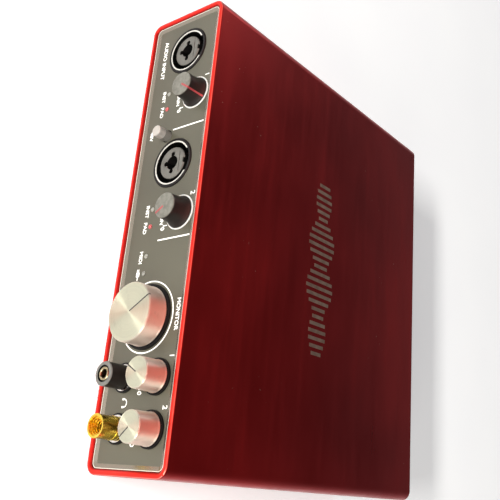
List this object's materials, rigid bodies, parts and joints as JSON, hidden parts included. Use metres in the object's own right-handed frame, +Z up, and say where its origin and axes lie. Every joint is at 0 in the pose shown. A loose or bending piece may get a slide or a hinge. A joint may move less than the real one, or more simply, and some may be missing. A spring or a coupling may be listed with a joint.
{
  "type": "audio interface",
  "caption": "Desktop recording interface in a red extruded case, with rotary controls, combination input sockets, headphone jacks and plug adapters that pull out.",
  "frame": {"origin": "centre of the whole object's box, on the surface that its feet stand on", "axes": "+Z up, the front panel faces -Y, +X towards the case's right end seen from the front"},
  "size_m": [0.21, 0.201, 0.0485],
  "materials": {
    "black_metal": "black oxide",
    "black_paint": "filled groove",
    "black_plastic": "fine texture",
    "black_rubber": "soft-touch",
    "brass": "gold plate",
    "bright_metal": "nickel plate",
    "circuit_board": "solder mask",
    "clear_plastic": "milky translucent",
    "grey_panel": "satin warm grey",
    "grey_plastic": "fine texture",
    "jack_body": "moulded, with a nickel bushing",
    "red_case": "anodised and painted deep red, satin",
    "red_plastic": "translucent red",
    "ribbon": "flat cable",
    "rubber": "matt",
    "turned_aluminium": "spun face"
  },
  "bodies": {
    "chassis": {"capacitors": "black_plastic", "case_sleeve": "red_case", "chips": "black_plastic", "clear_led_lenses": "clear_plastic", "coax_sockets": "bright_metal", "dc_inlet": "black_plastic", "front_board": "circuit_board", "front_panel": "grey_panel", "gain_1_halo": "clear_plastic", "gain_2_halo": "clear_plastic", "input_1_earth_ring": "bright_metal", "input_1_insert": "grey_plastic", "input_1_shell": "black_plastic", "input_2_earth_ring": "bright_metal", "input_2_insert": "grey_plastic", "input_2_shell": "black_plastic", "input_contacts": "brass", "line_jack_nuts": "black_plastic", "line_jacks": "black_plastic", "main_board": "circuit_board", "midi_cores": "black_plastic", "midi_sockets": "black_plastic", "monitor_collar": "black_plastic", "phantom_switch": "black_plastic", "phones_1_jack": "jack_body", "phones_2_jack": "jack_body", "phones_collars": "black_plastic", "phones_jack_nuts": "black_plastic", "potentiometers": "bright_metal", "power_switch_frame": "black_plastic", "rear_panel": "grey_panel", "rear_panel_screws": "black_metal", "red_led_lenses": "red_plastic", "ribbon_cable": "ribbon", "rubber_feet": "rubber", "usb_socket": "bright_metal"},
    "gain_knob_1": {"gain_1_knob": "black_rubber", "gain_1_pointer": "red_plastic", "gain_1_shaft": "bright_metal"},
    "gain_knob_2": {"gain_2_knob": "black_rubber", "gain_2_pointer": "red_plastic", "gain_2_shaft": "bright_metal"},
    "monitor_control": {"monitor_knob": "turned_aluminium", "monitor_pointer": "black_paint", "monitor_shaft": "bright_metal"},
    "phones_control_1": {"phones_1_knob": "turned_aluminium", "phones_1_pointer": "black_paint", "phones_1_shaft": "bright_metal"},
    "phones_control_2": {"phones_2_knob": "turned_aluminium", "phones_2_pointer": "black_paint", "phones_2_shaft": "bright_metal"},
    "phantom_button": {"phantom_button_cap": "clear_plastic", "phantom_button_stem": "grey_plastic"},
    "power_switch": {"power_rocker": "black_plastic"},
    "black_adapter": {"black_adapter_barrel": "black_plastic", "black_adapter_liner": "brass", "black_adapter_plug": "bright_metal"},
    "gold_adapter": {"gold_adapter_barrel": "brass", "gold_adapter_liner": "brass", "gold_adapter_plug": "brass"}
  },
  "joints": [
    {"name": "gain_1_turn", "type": "hinge", "parent": "chassis", "child": "gain_knob_1", "pos_m": [-0.0595, -0.0889, 0.03625], "axis": [0, 1, 0], "range_deg": [-184, 116]},
    {"name": "gain_2_turn", "type": "hinge", "parent": "chassis", "child": "gain_knob_2", "pos_m": [-0.0018, -0.0889, 0.03625], "axis": [0, 1, 0], "range_deg": [-298, 2]},
    {"name": "monitor_turn", "type": "hinge", "parent": "chassis", "child": "monitor_control", "pos_m": [0.0424, -0.0889, 0.02485], "axis": [0, 1, 0], "range_deg": [-119, 181]},
    {"name": "phones_1_turn", "type": "hinge", "parent": "chassis", "child": "phones_control_1", "pos_m": [0.0671, -0.0889, 0.0358], "axis": [0, 1, 0], "range_deg": [0, 300]},
    {"name": "phones_2_turn", "type": "hinge", "parent": "chassis", "child": "phones_control_2", "pos_m": [0.0871, -0.0889, 0.0358], "axis": [0, 1, 0], "range_deg": [-288, 12]},
    {"name": "phantom_press", "type": "slide", "parent": "chassis", "child": "phantom_button", "axis": [0, 1, 0], "range_m": [0, 0.0015], "stiffness_N_per_m": 300},
    {"name": "power_rock", "type": "hinge", "parent": "chassis", "child": "power_switch", "pos_m": [-0.076, 0.0903, 0.0225], "axis": [-1, 0, 0], "range_deg": [0, 16]},
    {"name": "black_adapter_pull", "type": "slide", "parent": "chassis", "child": "black_adapter", "axis": [0, -1, 0], "range_m": [0, 0.032]},
    {"name": "gold_adapter_pull", "type": "slide", "parent": "chassis", "child": "gold_adapter", "axis": [0, -1, 0], "range_m": [0, 0.032]}
  ]
}
